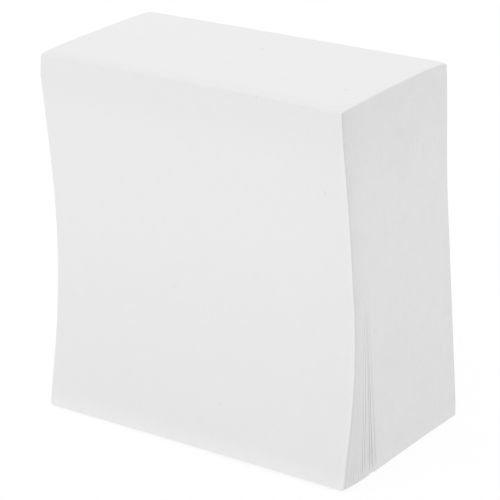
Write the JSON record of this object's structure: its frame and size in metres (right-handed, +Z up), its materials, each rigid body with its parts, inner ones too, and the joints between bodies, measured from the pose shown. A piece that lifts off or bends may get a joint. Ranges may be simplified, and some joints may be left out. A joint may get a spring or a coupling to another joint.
{
  "type": "memo cube",
  "caption": "Square block of white note sheets, glued along one edge, standing on its free ends with its front sheets flared forwards.",
  "frame": {"origin": "on the surface it stands on, under the middle of the stack of sheets", "axes": "+Z up towards the glued edge, -Y out of the front sheet, X along the width of the sheets"},
  "size_m": [0.09, 0.0506, 0.0904],
  "materials": {
    "note_paper": "uncoated matt white note paper",
    "padding_glue": "thin dried white padding glue, satin"
  },
  "bodies": {
    "root": {"sheet_block": "note_paper", "glue_binding": "padding_glue"}
  },
  "joints": []
}
